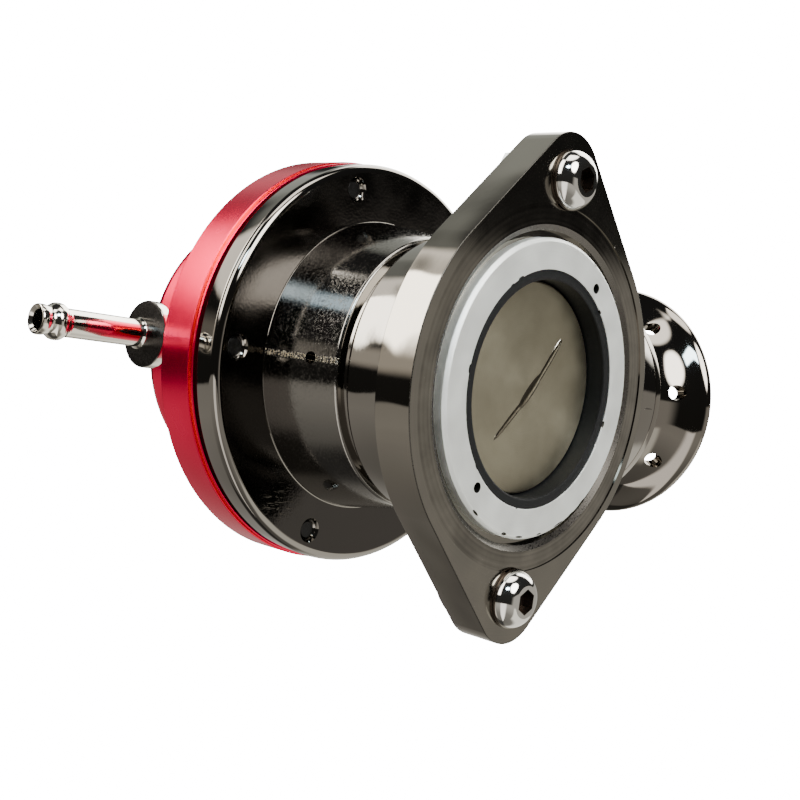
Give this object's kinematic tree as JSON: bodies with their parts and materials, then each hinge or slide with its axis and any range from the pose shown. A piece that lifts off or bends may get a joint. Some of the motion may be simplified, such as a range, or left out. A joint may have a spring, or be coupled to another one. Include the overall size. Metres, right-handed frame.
{
  "type": "blow off valve",
  "caption": "Turbo blow off valve with a two-bolt flange, a red diaphragm cap, a beaded hose nipple and a flared outlet trumpet with a ring of holes.",
  "frame": {"origin": "centre of the flange's mating face, on the valve axis", "axes": "+Y along the valve axis, from the inlet flange toward the cap; +X toward the outlet trumpet; +Z through the upper flange screw"},
  "size_m": [0.1187, 0.0873, 0.0894],
  "materials": {
    "red_cap": "red anodised, satin gloss",
    "dark_casting": "black chrome plated casting",
    "dark_flange": "black nickel plated, turned",
    "trumpet_metal": "black chrome plated, polished",
    "seat_steel": "turned bright",
    "valve_metal": "turned",
    "plate_metal": "plain",
    "stem_steel": "ground",
    "bush_brass": "plain",
    "seal_rubber": "matte",
    "screw_steel": "stainless, polished",
    "nut_zinc": "bright zinc plated",
    "nipple_nickel": "nickel plated",
    "black_screw": "black oxide",
    "spring_steel": "plain"
  },
  "bodies": {
    "housing": {"mounting_flange": "dark_flange", "flange_screws": "screw_steel", "flange_nuts": "nut_zinc", "flange_o_ring": "seal_rubber", "seat_ring": "seat_steel", "seat_seal": "seal_rubber", "valve_body": "dark_casting", "stem_bush": "bush_brass", "stem_seal": "seal_rubber", "bush_clip": "spring_steel", "diaphragm": "seal_rubber", "cap": "red_cap", "cap_screws": "black_screw", "main_spring": "spring_steel", "lock_nut": "nut_zinc", "hose_nipple": "nipple_nickel", "nipple_seal": "seal_rubber", "trumpet": "trumpet_metal", "trumpet_o_ring": "seal_rubber", "trumpet_set_screw": "black_screw"},
    "valve": {"valve_head": "valve_metal", "valve_stem": "stem_steel", "lower_plate": "plate_metal", "upper_plate": "plate_metal", "stem_washer": "screw_steel", "stem_nut": "nut_zinc"},
    "preload": {"spring_seat": "plate_metal"},
    "adjuster": {"adjuster_screw": "black_screw"}
  },
  "joints": [
    {"name": "valve_slide", "type": "slide", "parent": "housing", "child": "valve", "axis": [0, 1, 0], "range_m": [0, 0.007], "stiffness_N_per_m": 4000, "springref_m": -0.012, "deforming": ["main_spring", "diaphragm"]},
    {"name": "preload_slide", "type": "slide", "parent": "housing", "child": "preload", "axis": [0, -1, 0], "range_m": [0, 0.003], "deforming": ["main_spring"]},
    {"name": "adjuster_turn", "type": "hinge", "parent": "preload", "child": "adjuster", "pos_m": [0, 0.0775, 0], "axis": [0, -1, 0], "range_deg": [0, 865]}
  ],
  "couplings": [
    {"joint": "adjuster_turn", "follows": "preload_slide", "rad_per_m": 5026.5}
  ]
}
